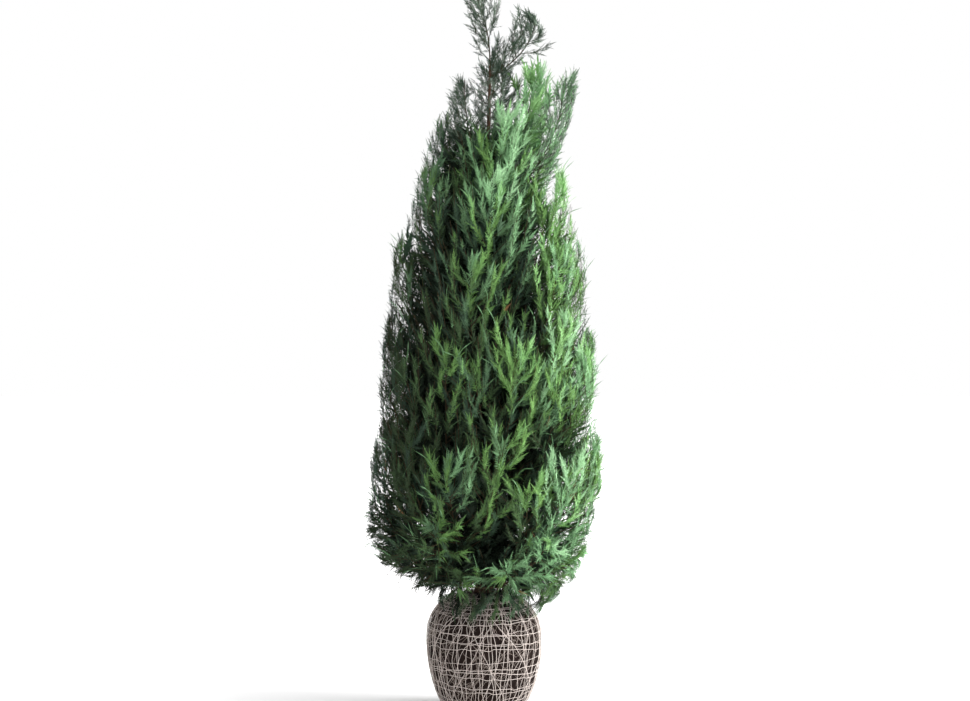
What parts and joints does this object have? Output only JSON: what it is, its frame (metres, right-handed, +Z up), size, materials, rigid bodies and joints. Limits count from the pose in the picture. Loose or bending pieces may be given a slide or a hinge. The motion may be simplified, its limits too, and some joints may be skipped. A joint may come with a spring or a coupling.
{
  "type": "root-balled lawson cypress",
  "caption": "Young upright evergreen cypress with dense flat sprays on one slim trunk, standing on its root ball, which is wrapped in an open jute net.",
  "frame": {"origin": "centre of the root ball's flat underside, on the ground", "axes": "+Z up the trunk to the leader, -Y the side that was pictured, +X to the right as seen from there"},
  "size_m": [0.7362, 0.717, 2.0918],
  "materials": {
    "soil": "matt moist soil",
    "jute": "matt twisted jute",
    "bark": "matt fibrous bark",
    "foliage": "matt scale leaves"
  },
  "bodies": {
    "root": {"root_ball": "soil", "root_ball_net": "jute", "trunk": "bark", "bough_skirt_1": "bark", "bough_skirt_2": "bark", "bough_skirt_3": "bark", "bough_skirt_4": "bark", "bough_skirt_5": "bark", "bough_skirt_6": "bark", "bough_low_1": "bark", "bough_low_2": "bark", "bough_low_3": "bark", "bough_low_4": "bark", "bough_low_5": "bark", "bough_low_6": "bark", "bough_middle_1": "bark", "bough_middle_2": "bark", "bough_middle_3": "bark", "bough_middle_4": "bark", "bough_middle_5": "bark", "bough_middle_6": "bark", "foliage_skirt_1": "foliage", "foliage_skirt_2": "foliage", "foliage_skirt_3": "foliage", "foliage_skirt_4": "foliage", "foliage_skirt_5": "foliage", "foliage_skirt_6": "foliage", "foliage_low_1": "foliage", "foliage_low_2": "foliage", "foliage_low_3": "foliage", "foliage_low_4": "foliage", "foliage_low_5": "foliage", "foliage_low_6": "foliage", "foliage_middle_1": "foliage", "foliage_middle_2": "foliage", "foliage_middle_3": "foliage", "foliage_middle_4": "foliage", "foliage_middle_5": "foliage", "foliage_middle_6": "foliage", "foliage_high_1": "foliage", "foliage_high_2": "foliage", "foliage_high_3": "foliage", "foliage_high_4": "foliage", "foliage_high_5": "foliage", "foliage_high_6": "foliage", "foliage_shoulder_1": "foliage", "foliage_shoulder_2": "foliage", "foliage_shoulder_3": "foliage", "foliage_shoulder_4": "foliage", "foliage_shoulder_5": "foliage", "foliage_upper_1": "foliage", "foliage_upper_2": "foliage", "foliage_upper_3": "foliage", "foliage_outer": "foliage", "foliage_inner": "foliage", "foliage_left": "foliage", "foliage_back": "foliage", "foliage_tuft": "foliage", "foliage_leader": "foliage"}
  },
  "joints": []
}
